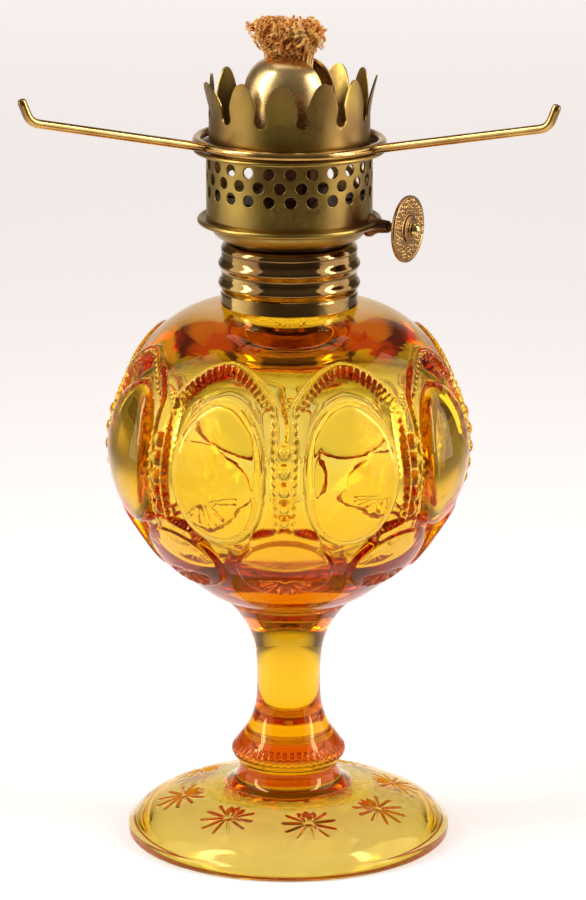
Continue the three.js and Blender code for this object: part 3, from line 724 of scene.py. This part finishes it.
def collar():
    """A ridged sleeve rolled in at its top, a shelf inside it on the glass neck, and its seam."""
    radius, wall = 12.83, 0.5
    height = collar_top - collar_foot
    low, high = collar_foot + 0.347 * height, collar_foot + 0.653 * height
    shoulder = collar_top - 1.6
    outer = [(12.75, collar_foot)]
    for z in np.linspace(collar_foot + 0.15, shoulder, 60):
        flare = 0.12 * (1 - smoothstep(z, low - 1.9, low - 1.7))
        outer.append((radius + ridge(z, low) + ridge(z, high) + float(flare), z))
    outer += arc(11.45, collar_top - 1.5, 1.42, 0, 78, 8)
    outer.append((11.35, collar_top))
    inner = [(r - wall, z - (0.4 if z > shoulder else 0)) for r, z in outer][::-1]
    shell = lathe(outer + inner, 256, 0.08)
    shelf_low, shelf_high = neck_top + 0.3, neck_top + 0.8
    section = [(9.4, shelf_low), (12.4, shelf_low), (12.4, shelf_high), (9.4, shelf_high)]
    shelf = lathe(section, 192, 0.12)
    seam = plate(12.9, 13.12, math.radians(-56), math.radians(-7.5), collar_foot + 0.15, collar_foot + 2.75)
    piece("screw_collar", joined([shell, shelf]), collar_brass, "base", "collar")
    piece("collar_seam", seam, collar_brass, "base")


def plate(inner, outer, start, end, low, high):
    """A curved plate between two radii, two azimuths from the front and two heights."""
    azimuths = FRONT + np.linspace(start, end, 49)
    edge = 0.06
    section = [(inner, low), (outer - edge, low), (outer, low + edge)]
    section += [(outer, high - edge), (outer - edge, high), (inner, high)]
    middle = np.mean(section, axis=0)

    def across(azimuth, shrink=1.0):
        r, z = (middle + (section - middle) * shrink).T
        return np.stack([r * math.cos(azimuth), r * math.sin(azimuth), z], axis=1)

    rings = [across(azimuths[0], 0)[:1], across(azimuths[0], 0.96)]
    rings += [across(a) for a in azimuths[1:-1]]
    return loft(rings + [across(azimuths[-1], 0.96), across(azimuths[-1], 0)[:1]])


def thread_cup():
    """The threaded sleeve, which flares out to the rolled lower flange."""
    under = collar_top + 0.3
    sleeve, groove, pitch, turns = 10.95, 0.3, 1.4, 5
    thread = [
        (sleeve - groove * (0.5 - 0.5 * math.cos(TURN * t)), sleeve_foot + 0.6 + pitch * t)
        for t in np.linspace(0, turns, 61)
    ]
    bends = np.linspace(0, math.pi / 2, 14)
    flare = [(11.1 + 3.9 * math.sin(a), under + 3.6 * (1 - math.cos(a))) for a in bends]
    bead = arc(16.7, band_foot - 0.3, 0.6, -160, 145, 18)
    inner = [(r - 0.5, z + 0.5) for r, z in flare][::-1]
    outline = [(10.6, sleeve_foot), (sleeve, sleeve_foot)] + thread + flare + bead
    outline += [(15.9, band_foot)] + inner
    piece("burner_cup", lathe(outline, 256, 0.06), brass, "burner", "thread_cup")


def band_sheet():
    """The outside of the perforated band, as quads ringing every hole."""
    pitch = TURN / HOLES
    steps = 8
    corners = [(1, -1), (1, 1), (-1, 1), (-1, -1)]
    points, faces = [], []

    def add(azimuth, height):
        points.append((BAND_RADIUS * math.cos(azimuth), BAND_RADIUS * math.sin(azimuth), height))
        return len(points) - 1

    def fill(outer, inner):
        for i in range(len(outer)):
            j = (i + 1) % len(outer)
            faces.append([outer[i], outer[j], inner[j], inner[i]])

    for row in range(HOLE_ROWS):
        centre_z = first_row + row * ROW_PITCH
        for k in range(HOLES):
            centre = FIRST_HOLE + (k + (row % 2) / 2) * pitch
            border, bevel, hole = [], [], []
            for side in range(4):
                (u0, v0), (u1, v1) = corners[side - 1], corners[side]
                for i in range(steps):
                    t = i / steps
                    u, v = u0 + (u1 - u0) * t, v0 + (v1 - v0) * t
                    border.append(add(centre + u * pitch / 2, centre_z + v * ROW_PITCH / 2))
                    angle = -math.pi * 3 / 4 + (side + t) * math.pi / 2
                    for rim, radius in ((bevel, HOLE_RADIUS + 0.12), (hole, HOLE_RADIUS)):
                        turn = centre + radius * math.cos(angle) / BAND_RADIUS
                        rim.append(add(turn, centre_z + radius * math.sin(angle)))
            fill(border, bevel)
            fill(bevel, hole)
    low, high = first_row - ROW_PITCH / 2, first_row + (HOLE_ROWS - 0.5) * ROW_PITCH
    around = HOLES * steps
    for start, end in ((band_foot, low), (high, band_top)):
        levels = np.linspace(start, end, 7)
        grid = [[add(FIRST_HOLE + pitch / 2 + i * TURN / around, z) for i in range(around)] for z in levels]
        for lower, upper in zip(grid, grid[1:]):
            fill(lower, upper)
    return np.array(points), faces


def modify(obj, kind, **settings):
    modifier = obj.modifiers.new(kind.lower(), kind)
    for name, value in settings.items():
        setattr(modifier, name, value)


def thickened(obj, wall):
    """Gives a sheet its wall on the inner side, with rounded edges."""
    welded = bmesh.new()
    welded.from_mesh(obj.data)
    bmesh.ops.remove_doubles(welded, verts=welded.verts, dist=1e-6)
    bmesh.ops.recalc_face_normals(welded, faces=welded.faces)
    welded.faces.ensure_lookup_table()
    outermost = max(welded.faces, key=lambda f: f.calc_center_median().xy.length)
    if outermost.normal.xy.dot(outermost.calc_center_median().xy) < 0:
        bmesh.ops.reverse_faces(welded, faces=welded.faces)
    welded.to_mesh(obj.data)
    welded.free()
    modify(obj, "SOLIDIFY", thickness=wall * MM, offset=-1, use_even_offset=True)
    modify(obj, "BEVEL", width=0.07 * MM, segments=2, limit_method="ANGLE", angle_limit=math.radians(50))


def basket_band():
    obj = piece("perforated_band", band_sheet(), brass, "burner", "basket_band", sharp=0)
    thickened(obj, 0.4)


def petal_rows():
    """(height, half width) of a petal from the floor to its tip; the gap starts as a round hole."""
    slot_radius, neck_half = 1.3, 0.95
    slot_centre = floor_top + 5.65 + slot_radius
    neck = floor_top + 9.25
    rows = [(z, PETAL_HALF) for z in np.linspace(floor_top - 0.1, slot_centre - slot_radius, 12)]
    for angle in np.radians(np.linspace(-90, 35, 15)[1:]):
        z = slot_centre + slot_radius * math.sin(angle)
        rows.append((z, PETAL_HALF - slot_radius * math.cos(angle)))
    for climb in np.sin(np.linspace(0, math.pi / 2, 26)):
        half = (PETAL_HALF - neck_half) * math.sqrt(max(1 - climb**1.12, 0))
        rows.append((neck + climb * (crown_tip - neck), max(half, 0.12)))
    return rows


def crown_sheet():
    """The outside of the twelve petals, each with its own lean and length."""
    fold = floor_top + 6.25
    rows, columns = petal_rows(), np.linspace(-1, 1, 17)
    width = len(columns)
    points, faces = [], []
    for petal in range(PETALS):
        centre = FIRST_PETAL + petal * TURN / PETALS
        start = len(points)
        for z, half in rows:
            climb = max(z - fold, 0) / (crown_tip - fold)
            radius = CROWN_RADIUS + PETAL_LEANS[petal] * climb**1.4
            height = z + PETAL_LONGER[petal] * climb
            for t in columns:
                turn = centre + t * half / PETAL_HALF * math.pi / PETALS
                points.append((radius * math.cos(turn), radius * math.sin(turn), height))
        for i in range(len(rows) - 1):
            for k in range(width - 1):
                a = start + i * width + k
                faces.append([a, a + 1, a + width + 1, a + width])
    return np.array(points), faces


def crown_gallery():
    obj = piece("petal_crown", crown_sheet(), brass, "burner", "crown_gallery", sharp=0)
    thickened(obj, 0.35)
    bead = arc(17.75, floor_top - 0.3, 0.4, -150, 100, 14)
    section = [(9.2, floor_top - 0.9), (12, floor_top - 0.9), (12, band_top)] + bead
    section += [(11.5, floor_top), (11.5, floor_top - 0.4), (9.2, floor_top - 0.4)]
    piece("gallery_floor", lathe(section, 256, 0.06), brass, "burner")


def cut_by(obj, skin):
    """Takes a closed shape out of a piece and keeps the result."""
    cutter = new_object("cutter", skin)
    modify(obj, "BOOLEAN", operation="DIFFERENCE", solver="EXACT", object=cutter)
    result = bpy.data.meshes.new_from_object(obj.evaluated_get(bpy.context.evaluated_depsgraph_get()))
    obj.modifiers.clear()
    obj.data = result
    bpy.data.objects.remove(cutter)
    result.shade_smooth()
    result.set_sharp_from_angle(angle=math.radians(35))


def block(low, high):
    (x0, y0, z0), (x1, y1, z1) = low, high
    corners = ((x0, y0), (x1, y0), (x1, y1), (x0, y1))
    points = np.array([(x, y, z) for z in (z0, z1) for x, y in corners], float)
    faces = [[3, 2, 1, 0], [4, 5, 6, 7]] + [[i, (i + 1) % 4, (i + 1) % 4 + 4, i + 4] for i in range(4)]
    return outward(points, faces)


def deflector_dome():
    """A full-shouldered cap, cut across for the wick."""
    radius, wall, fullness = 8.7, 0.4, 2.8
    height = dome_crest - dome_top + 8.8
    foot_inner, foot_outer, foot_low = 8.3, 11.2, floor_top - 0.4
    slot_half, slot_depth = 2.1, 5.2

    def cap(r, h):
        turn = np.linspace(0, math.pi / 2, 41)
        across, up = np.cos(turn) ** (2 / fullness), np.sin(turn) ** (2 / fullness)
        return [(r * a, dome_crest - height + h * u) for a, u in zip(across, up)]

    outside = cap(radius, height)
    inside = cap(radius - wall, height - wall)[::-1]
    foot = [(foot_inner, foot_low), (foot_outer, foot_low), (foot_outer, floor_top), (9.5, floor_top)]
    foot += arc(9.3, floor_top + 0.6, 0.6, -90, -180, 5)
    outline = [(0, dome_crest - wall)] + inside[1:] + [(foot_inner, foot_low)]
    outline += softened(foot, 0.06, False) + outside[:-1] + [(0, dome_crest)]
    skin = in_burner(spindle(outline, 192))
    obj = piece("blaze_dome", skin, lit_dome_brass, "burner", "deflector_dome")
    slot = block((-12, -slot_half, dome_crest - slot_depth), (12, slot_half, dome_crest + 3))
    cut_by(obj, in_burner(slot))


def shaft_boss():
    """A stepped boss, drawn out of the band where the shaft leaves it."""
    start = math.sqrt(BAND_RADIUS**2 - SHAFT_OFFSET**2) - 0.5
    outline = [(1.1, start), (2.25, start), (2.2, start + 0.9), (1.6, start + 1.7), (1.35, start + 2.4)]
    outline += [(1.15, start + 4.4), (0.9, start + 4.5), (0.9, start + 4.2)]
    piece("boss", at_shaft(lathe(outline, 96, 0.25)), dark_brass, "burner", "shaft_boss")


def winder():
    """The shaft, its peened head in front of the disc, and the stepped washer on the disc."""
    inner_end, outer_end = -6.4, washer_face - 0.1
    shaft = [(0, inner_end), (SHAFT_RADIUS - 0.1, inner_end), (SHAFT_RADIUS, inner_end + 0.1)]
    shaft += [(SHAFT_RADIUS, outer_end), (0, washer_face - 0.05)]
    piece("shaft", at_shaft(spindle(shaft, 64)), dark_brass, "wick_knob", "winder_shaft")
    head = [(0, washer_face - 0.05), (1.1, washer_face), (1.3, washer_face + 0.2)]
    head += arc(0, washer_face + 0.1, 1.25, 12, 90, 10)
    piece("shaft_head", at_shaft(spindle(head, 64)), head_brass, "wick_knob")
    wide, narrow = 2.6, 1.8
    washer = [(DISC_BORE, disc_face), (wide, disc_face), (wide, disc_face + 0.35), (narrow, disc_face + 0.5)]
    washer += [(narrow, washer_face), (DISC_BORE, washer_face)]
    piece("washer", at_shaft(lathe(washer, 96, 0.12)), disc_brass, "wick_knob", "thumbwheel_washer")


def thumbwheel():
    """The disc, its outer face stippled with small grains."""
    count, corner, recess = 288, 0.25, 0.12
    grains = []
    while len(grains) < 80:
        r, a = math.sqrt(chance.uniform(3.3**2, 5.5**2)), chance.uniform(0, TURN)
        if all(math.hypot(r * math.cos(a) - x, r * math.sin(a) - y) > 0.66 for x, y, _ in grains):
            grains.append((r * math.cos(a), r * math.sin(a), chance.uniform(0.26, 0.42)))
    turn = all_round(count)
    rings = []
    for r in np.concatenate([[DISC_BORE], np.arange(2.5, DISC_RADIUS - 0.3, 0.1)]):
        rise = np.zeros(count)
        if 2.9 < r < 5.8:
            rise -= recess
            x, y = r * np.cos(turn), r * np.sin(turn)
            for gx, gy, size in grains:
                near = 1 - ((x - gx) ** 2 + (y - gy) ** 2) / size**2
                rise = np.maximum(rise, -recess + 0.32 * np.sqrt(np.maximum(near, 0)))
        rings.append(ring(r, disc_face + rise, count))
    rim = arc(DISC_RADIUS - corner, disc_face - corner, corner, 90, 0, 4)
    rim += arc(DISC_RADIUS - corner, DISC_PLACE + corner, corner, 0, -90, 4)
    rings += [ring(r, z, count) for r, z in rim]
    rings.append(ring(DISC_BORE, DISC_PLACE, count))
    skin = at_shaft(loft(rings, closed=True))
    piece("thumb_disc", skin, disc_brass, "wick_knob", "thumbwheel", sharp=55)


# Wick

def wick_strip():
    """A flat woven tape: two sets of diagonal ribs stand out on it."""
    rows = evenly([(wick_foot, 0), (tuft_foot - 1.5, 0)], 0.25)[:, 0]
    count = 96
    turn = all_round(count)
    width, depth, rib_pitch = 4.75, 1.0, 0.9
    x = np.sign(np.cos(turn)) * np.abs(np.cos(turn)) ** 0.5 * width
    y = np.sign(np.sin(turn)) * np.abs(np.sin(turn)) ** 0.6 * depth
    rings = [pole(rows[0])]
    for z in rows:
        rising, falling = (np.abs(np.sin(place * math.pi / rib_pitch)) for place in (x + z, x - z))
        ribs = rising * 0.5 + falling * 0.5
        level = np.full(count, z)
        rings.append(np.stack([x * (0.97 + 0.02 * ribs), y * (0.86 + 0.12 * ribs), level], axis=1))
    rings.append(pole(rows[-1]))
    piece("woven_wick", in_burner(loft(rings)), woven_cotton, "wick", "wick_strip")


def threads(spine, count, width, radius):
    """Thin threads that twist round one path."""
    t = np.linspace(0, 1, len(spine))
    skins = []
    for _ in range(count):
        angle = chance.uniform(0, TURN) + chance.uniform(3, 7) * t
        size = width * math.sqrt(chance.uniform(0.1, 1))
        twist = np.stack([np.cos(angle), np.sin(angle), np.sin(angle + 1)], axis=1) * size
        skins.append(tube(spine + twist, radius * np.linspace(1, 0.7, len(spine)), 4))
    return skins


def curl(start, out):
    """A short loop of threads that leaves along the direction out and turns back on itself."""
    side = np.cross(out, chance.normal(0, 1, 3))
    side /= np.linalg.norm(side)
    turn, length = chance.uniform(2.5, 5.5), chance.uniform(1.9, 3.1)
    t = shares(11)
    drop = np.array([0, 0, -1]) * chance.uniform(0, 0.7)
    spine = start + length / turn * (np.sin(turn * t) * out + (1 - np.cos(turn * t)) * side) + drop * t
    return threads(spine, 5, 0.22, chance.uniform(0.075, 0.115))


def standing_threads():
    """Threads that come up through the slot and lean out over it."""
    x0, y0 = chance.uniform(-4.4, 4.4), chance.uniform(-0.8, 0.8)
    low = np.array([x0, y0, dome_top - 1.8])
    high = np.array([1.3 * x0, 2.2 * y0 + chance.normal(0, 0.4), dome_crest + chance.uniform(2.5, 5)])
    knee = np.array([x0 * 1.02, y0, dome_crest + 0.3])
    t = shares(10)
    wave = np.sin(t * chance.uniform(5, 12, 3) + chance.uniform(0, TURN, 3))
    return threads(bent(low, knee, high, 10) + wave * 0.2 * t, 3, 0.22, 0.13)


def head_curl():
    """A curl somewhere on the head, which widens as it rises."""
    climb = chance.uniform(0, 1) ** 0.8
    wide = smoothstep(climb, -0.1, 0.6)
    angle, size = chance.uniform(0, TURN), math.sqrt(chance.uniform(0.3, 1))
    z = dome_crest + 0.9 + climb * (tuft_top - dome_crest - 2.1)
    across, deep = math.cos(angle), math.sin(angle)
    start = np.array([-0.35 + (4.5 + 2.0 * wide) * size * across, (1.7 + 1.5 * wide) * size * deep, z])
    out = np.array([across, deep, 1.7 * climb - 0.75]) + chance.normal(0, 0.35, 3)
    return curl(start, out / np.linalg.norm(out))


def side_wisp(z, reach):
    """A wisp that leaves the head sideways."""
    near = np.array([math.copysign(4.5, reach), 0.3, dome_top + z])
    far = np.array([reach, chance.uniform(-1, 1.2), dome_top + z * 0.95])
    t = shares(12)
    spine = near + (far - near) * t + np.sin(t * 7 + chance.uniform(0, TURN, 3)) * 0.3 * t
    return threads(spine, 6, 0.35, 0.1)


# Height over the dome and reach of each wisp
WISPS = [(6.2, -9.3), (6.9, -8.8), (5.7, -8.4), (4.5, -8.0), (3.6, -7.4), (6.4, 7.5), (5.0, 7.7), (3.4, 7.2)]


def wick_tuft():
    skins = []
    for _ in range(150):
        skins += standing_threads()
    for _ in range(620):
        skins += head_curl()
    for z, reach in WISPS:
        skins += side_wisp(z, reach)
    points, faces = joined(skins)
    points[:, 2] = np.minimum(points[:, 2], tuft_top)
    skin = in_burner((points, faces))
    piece("frayed_wick", skin, strand_cotton, "wick", "wick_tuft", sharp=0)


# Shade holder

def tilted(skin):
    """The holder lies a little lower on its right."""
    points, faces = skin
    points = points.copy()
    points[:, 2] -= points[:, 0] * math.sin(HOLDER_TILT)
    return points, faces


def holder_ring():
    skin = tilted(lathe(arc(holder_radius, wire_height, wire_radius, 0, 360, 28)[:-1], 256, 0))
    piece("wire_ring", skin, wire_brass, "shade_holder", "holder_ring")


def shade_arm(node, azimuth):
    """A wire out to its bend, and the upturned tip."""
    rise, reach, lean, tip, bend_reach = 7.7, 54, math.radians(22), 4.6, 1.8
    start = np.array([holder_radius + 0.2, 0, wire_height])
    bend = np.array([reach, 0, wire_height + rise])
    end = bend + np.array([math.sin(lean), 0, math.cos(lean)]) * tip
    along = (bend - start) / np.linalg.norm(bend - start)
    before, after = bend - along * bend_reach, bend + (end - bend) / tip * bend_reach
    path = evenly(np.vstack([start, bent(before, bend, after, 9), end]), 0.5)
    skin = tilted(turned(tube(path, wire_radius, 24), azimuth))
    piece(node + "_wire", skin, wire_brass, "shade_holder", node)


def dress_nodes():
    """Gives the CAD nodes that stay in view their materials: near-black brass, painted shade, for the parts
    inside the burner, and plaster.
    """
    inner_nodes = ["wick_tube", "air_screen", "shaft_housing", "star_wheel_inner", "star_wheel_outer"]
    for name, material in [(name, painted_shade_brass) for name in inner_nodes] + [("collar_plaster", plaster)]:
        obj = frame["nodes"][name]
        if obj.material_slots:
            obj.material_slots[0].material = material
        else:
            obj.data.materials.append(material)


# Stage

def floor_material():
    """Pale, with a glow of its own, painted light, that falls off in front of the lamp and to its sides;
    there its colour darkens too, as painted shade.
    """
    material, shader = new_material("floor")
    x, y, _ = axes(shader, "Object")
    ahead = ranged(y, 0.2, 3.2, (-0.6, 2.4))
    breadth = ranged(arithmetic("DIVIDE", arithmetic("ABSOLUTE", x), ahead), 1, 0.25, (0.11, 0.24))
    lit = arithmetic("MULTIPLY", ranged(y, 0, 1, (-0.38, -0.18)), breadth)
    # Painted shade: the colour goes dark where lit falls off, in front of the lamp and to its sides
    link(ramp(lit, [(0, (0.15, 0.135, 0.12)), (1, (0.8, 0.75, 0.735))]), shader.inputs["Base Color"])
    # Painted light: the floor glows near the lamp, and more far behind it
    glow = arithmetic("MULTIPLY", lit, ranged(y, FLOOR_GLOW, FLOOR_FAR_GLOW, (0.1, 1.1)))
    link(ramp(glow, [(0, (0, 0, 0)), (1, (1, 0.945, 0.93))]), shader.inputs["Emission Color"])
    preset(shader, {"Roughness": 0.9, "Specular IOR Level": 0.1, "Emission Strength": 1.0})
    return material


def floor():
    """A wide disc round the lamp, finer towards its middle."""
    rings = [ring(radius, 0, 96) for radius in (2400, 1600, 1000, 500, 200)]
    obj = new_object("floor", loft(rings + [pole(0)]))
    obj.data.materials.append(floor_material())


def softbox(name, place, aim, width, height, radiance):
    light = bpy.data.lights.new(name, "AREA")
    light.shape = "RECTANGLE"
    light.size, light.size_y = width, height
    light.energy = radiance * math.pi * width * height
    obj = bpy.data.objects.new(name, light)
    scene.collection.objects.link(obj)
    obj.location = place
    obj.rotation_euler = (Vector(aim) - Vector(place)).to_track_quat("-Z", "Y").to_euler()


def lights():
    """Broad soft boxes and bright strips on both sides, and a box above."""
    softbox("softbox_left", (-0.4, -0.09, 0.36), (0, -0.09, 0.36), 0.46, 0.7, 1.2)
    softbox("softbox_right", (0.4, -0.05, 0.28), (0, -0.05, 0.28), 0.52, 0.54, 1.5)
    softbox("strip_left", (-0.38, -0.08, 0.34), (0, 0, 0.1), 0.08, 0.5, 13)
    softbox("strip_right", (0.37, -0.11, 0.28), (0, 0, 0.1), 0.07, 0.4, 13)
    softbox("softbox_top", (0, 0.35, 1.1), (0, 0, 0.1), 0.8, 0.5, 1.2)


def world():
    """A dark room, pale behind the lamp and above it."""
    scene.world = bpy.data.worlds.new("room")
    scene.world.use_nodes = True
    background = scene.world.node_tree.nodes["Background"]
    _, y, z = axes(background, "Generated")
    light = arithmetic("MAXIMUM", ranged(y, 0, 0.75, (0.8, 0.97)), ranged(z, 0, 0.12, (0.4, 0.95)))
    link(ramp(light, [(0, (0.11, 0.095, 0.08)), (1, (1, 0.98, 0.97))]), background.inputs["Color"])
    preset(background, {"Strength": 1.0})


def camera():
    back = Vector((0, -math.cos(CAMERA_PITCH), math.sin(CAMERA_PITCH)))
    data = bpy.data.cameras.new("camera")
    data.lens = LENS
    data.sensor_fit = "VERTICAL"
    data.sensor_height = data.sensor_width = SENSOR
    data.clip_start, data.clip_end = 0.01, 50
    obj = bpy.data.objects.new("camera", data)
    scene.collection.objects.link(obj)
    aim = (-back).to_track_quat("-Z", "Y").to_matrix().to_4x4()
    eye = (CAMERA_TARGET + CAMERA_DISTANCE * back) * MM
    obj.matrix_world = Matrix.Translation(eye) @ aim @ Matrix.Rotation(CAMERA_ROLL, 4, "Z")
    scene.camera = obj


camera()
world()
lights()
floor()
scene.view_settings.view_transform = "Standard"
# Light crosses many faces of the hollow glass
scene.cycles.max_bounces = 24
scene.cycles.glossy_bounces = 16
scene.cycles.transmission_bounces = 24

glass_base()
collar()
thread_cup()
basket_band()
crown_gallery()
deflector_dome()
shaft_boss()
winder()
thumbwheel()
wick_strip()
wick_tuft()
holder_ring()
shade_arm("shade_arm_rear", math.radians(90))
shade_arm("shade_arm_left", math.radians(210))
shade_arm("shade_arm_right", math.radians(330))
dress_nodes()
